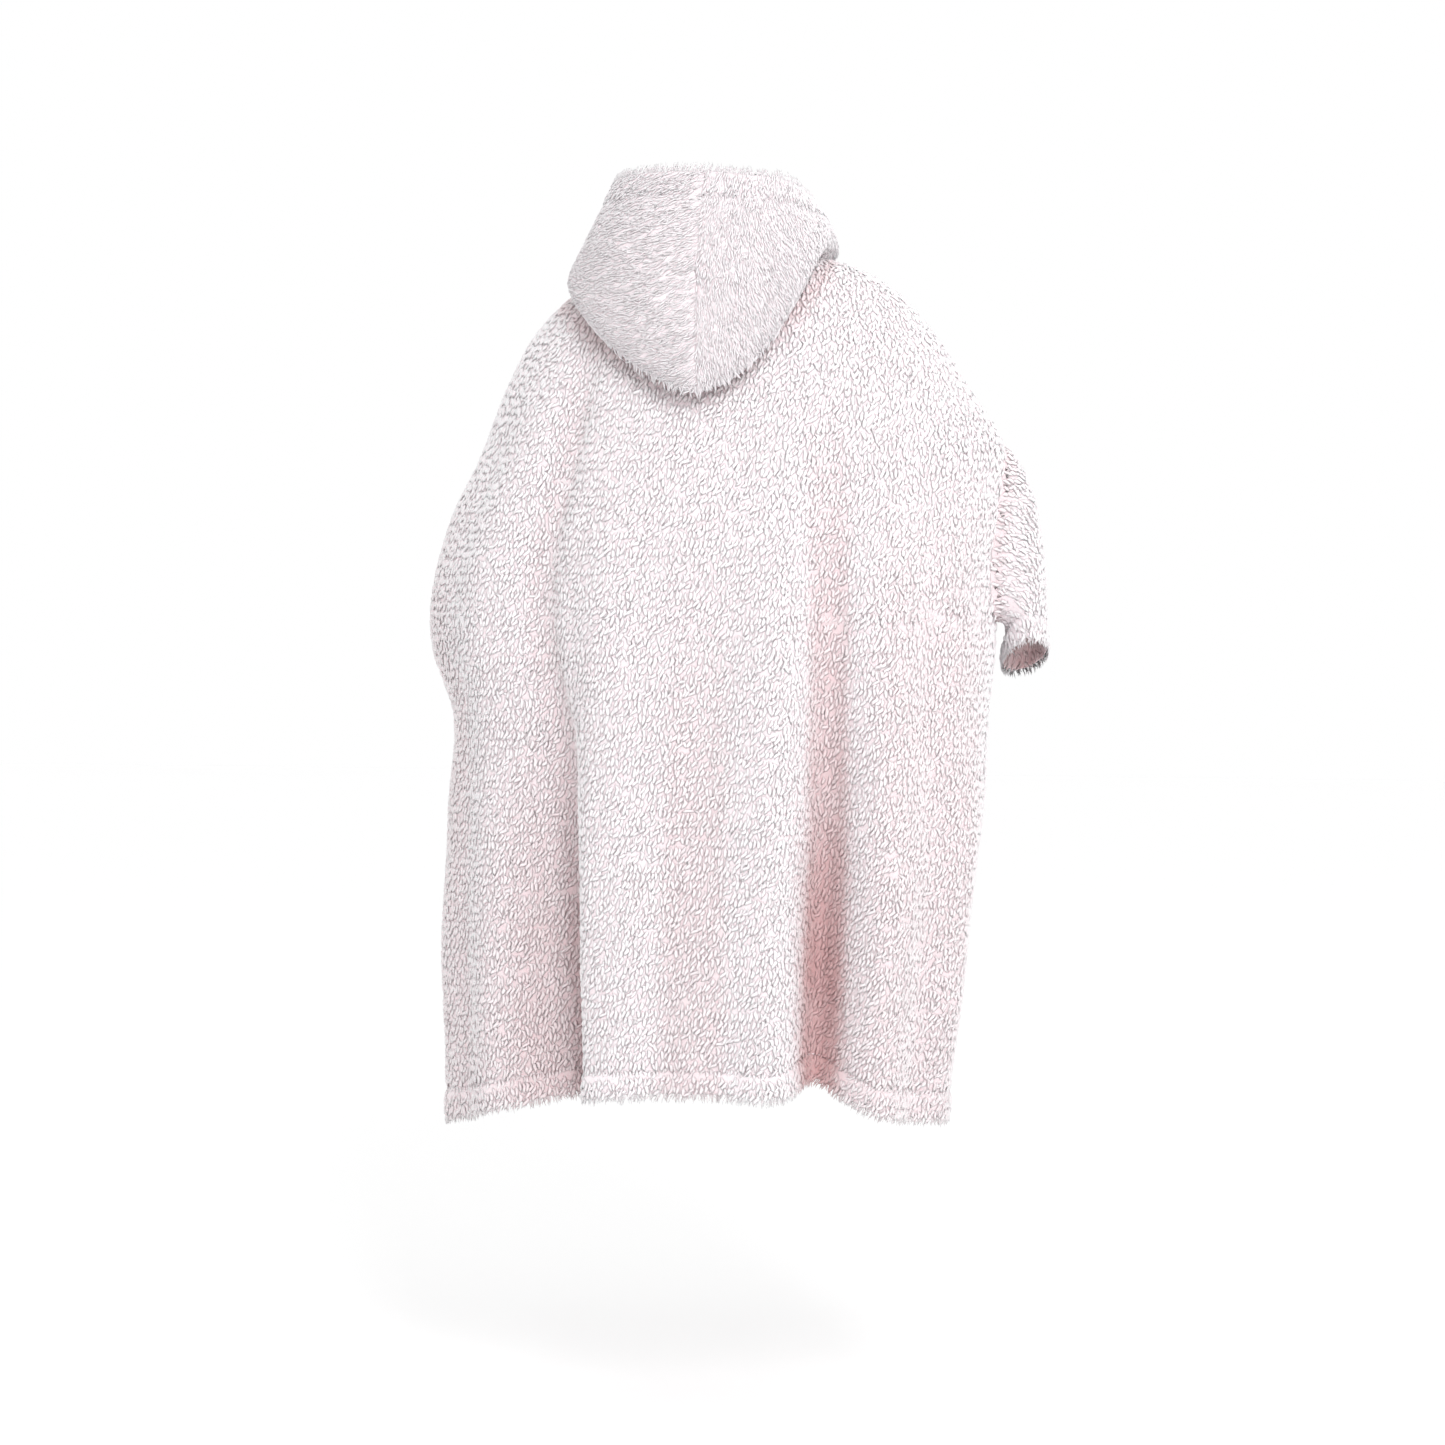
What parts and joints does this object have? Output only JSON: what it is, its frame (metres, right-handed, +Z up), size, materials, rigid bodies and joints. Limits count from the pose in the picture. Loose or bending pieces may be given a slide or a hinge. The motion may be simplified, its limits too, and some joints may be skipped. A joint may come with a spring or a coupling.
{
  "type": "wearable blanket hoodie",
  "caption": "Long teddy-fleece poncho hoodie in its hollow worn form: open neck, hem and short wide sleeves, with the hood folded down behind.",
  "frame": {"origin": "at the nape, in the middle of the neckline's back, where the garment hangs from the wearer's neck and shoulders", "axes": "+Z up along the hanging cloth, -Y the wearer's front, +Y the back with the folded hood, -X the wearer's right"},
  "size_m": [0.7717, 0.4524, 1.1403],
  "materials": {
    "back_fleece": "curly pale pink teddy fleece",
    "front_fleece": "curly pale pink teddy fleece",
    "sleeve_fleece": "curly pale pink teddy fleece",
    "hood_fleece": "soft brushed pale pink fleece"
  },
  "bodies": {
    "root": {"back_panel": "back_fleece", "front_panel": "front_fleece", "sleeve_left": "sleeve_fleece", "sleeve_right": "sleeve_fleece", "hood_left": "hood_fleece", "hood_right": "hood_fleece"}
  },
  "joints": []
}
